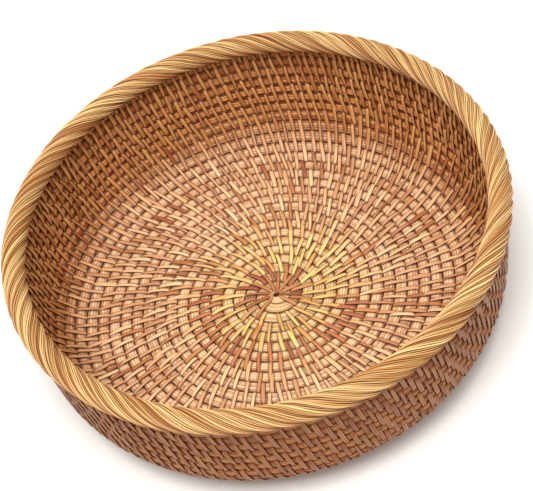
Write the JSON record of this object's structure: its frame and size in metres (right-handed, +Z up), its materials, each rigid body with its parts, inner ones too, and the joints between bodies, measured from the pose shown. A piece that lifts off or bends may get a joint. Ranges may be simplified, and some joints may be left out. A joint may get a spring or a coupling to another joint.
{
  "type": "coiled rattan tray basket",
  "caption": "Round shallow basket coiled from rattan, with a flat floor, a low upright wall and a thick rim roll wrapped in slanting strips; holds or tosses dry goods.",
  "frame": {"origin": "centre of the underside, on the surface that the basket stands on", "axes": "+Z up, out of the basket's mouth; +X towards the angle where each round of the coil begins"},
  "size_m": [0.2498, 0.2498, 0.0762],
  "materials": {
    "foundation": "satin split rattan, pale straw with brown stains",
    "binder": "semi-gloss peeled rattan skin, golden to reddish brown",
    "rim_wrap": "semi-gloss rattan strips, golden straw with orange streaks",
    "rim_core": "matt bare rattan cane"
  },
  "bodies": {
    "root": {"start_knot": "foundation", "floor_round_01": "foundation", "floor_round_02": "foundation", "floor_round_03": "foundation", "floor_round_04": "foundation", "floor_round_05": "foundation", "floor_round_06": "foundation", "floor_round_07": "foundation", "floor_round_08": "foundation", "floor_round_09": "foundation", "floor_round_10": "foundation", "floor_round_11": "foundation", "floor_round_12": "foundation", "floor_round_13": "foundation", "floor_round_14": "foundation", "floor_round_15": "foundation", "corner_round_01": "foundation", "corner_round_02": "foundation", "corner_round_03": "foundation", "corner_round_04": "foundation", "corner_round_05": "foundation", "corner_round_06": "foundation", "wall_round_01": "foundation", "wall_round_02": "foundation", "wall_round_03": "foundation", "wall_round_04": "foundation", "wall_round_05": "foundation", "wall_round_06": "foundation", "rim_core": "rim_core", "rim_wrap_01": "rim_wrap", "rim_wrap_02": "rim_wrap", "rim_wrap_03": "rim_wrap", "rim_wrap_04": "rim_wrap", "rim_wrap_05": "rim_wrap", "rim_wrap_06": "rim_wrap", "rim_wrap_07": "rim_wrap", "rim_wrap_08": "rim_wrap", "rim_wrap_09": "rim_wrap", "rim_wrap_10": "rim_wrap", "rim_wrap_11": "rim_wrap", "rim_wrap_12": "rim_wrap", "rim_wrap_13": "rim_wrap", "rim_wrap_14": "rim_wrap", "rim_wrap_15": "rim_wrap", "rim_wrap_16": "rim_wrap", "rim_wrap_17": "rim_wrap", "rim_wrap_18": "rim_wrap", "rim_wrap_19": "rim_wrap", "rim_wrap_20": "rim_wrap", "rim_wrap_21": "rim_wrap", "rim_wrap_22": "rim_wrap", "rim_wrap_23": "rim_wrap", "rim_wrap_24": "rim_wrap"}
  },
  "joints": []
}
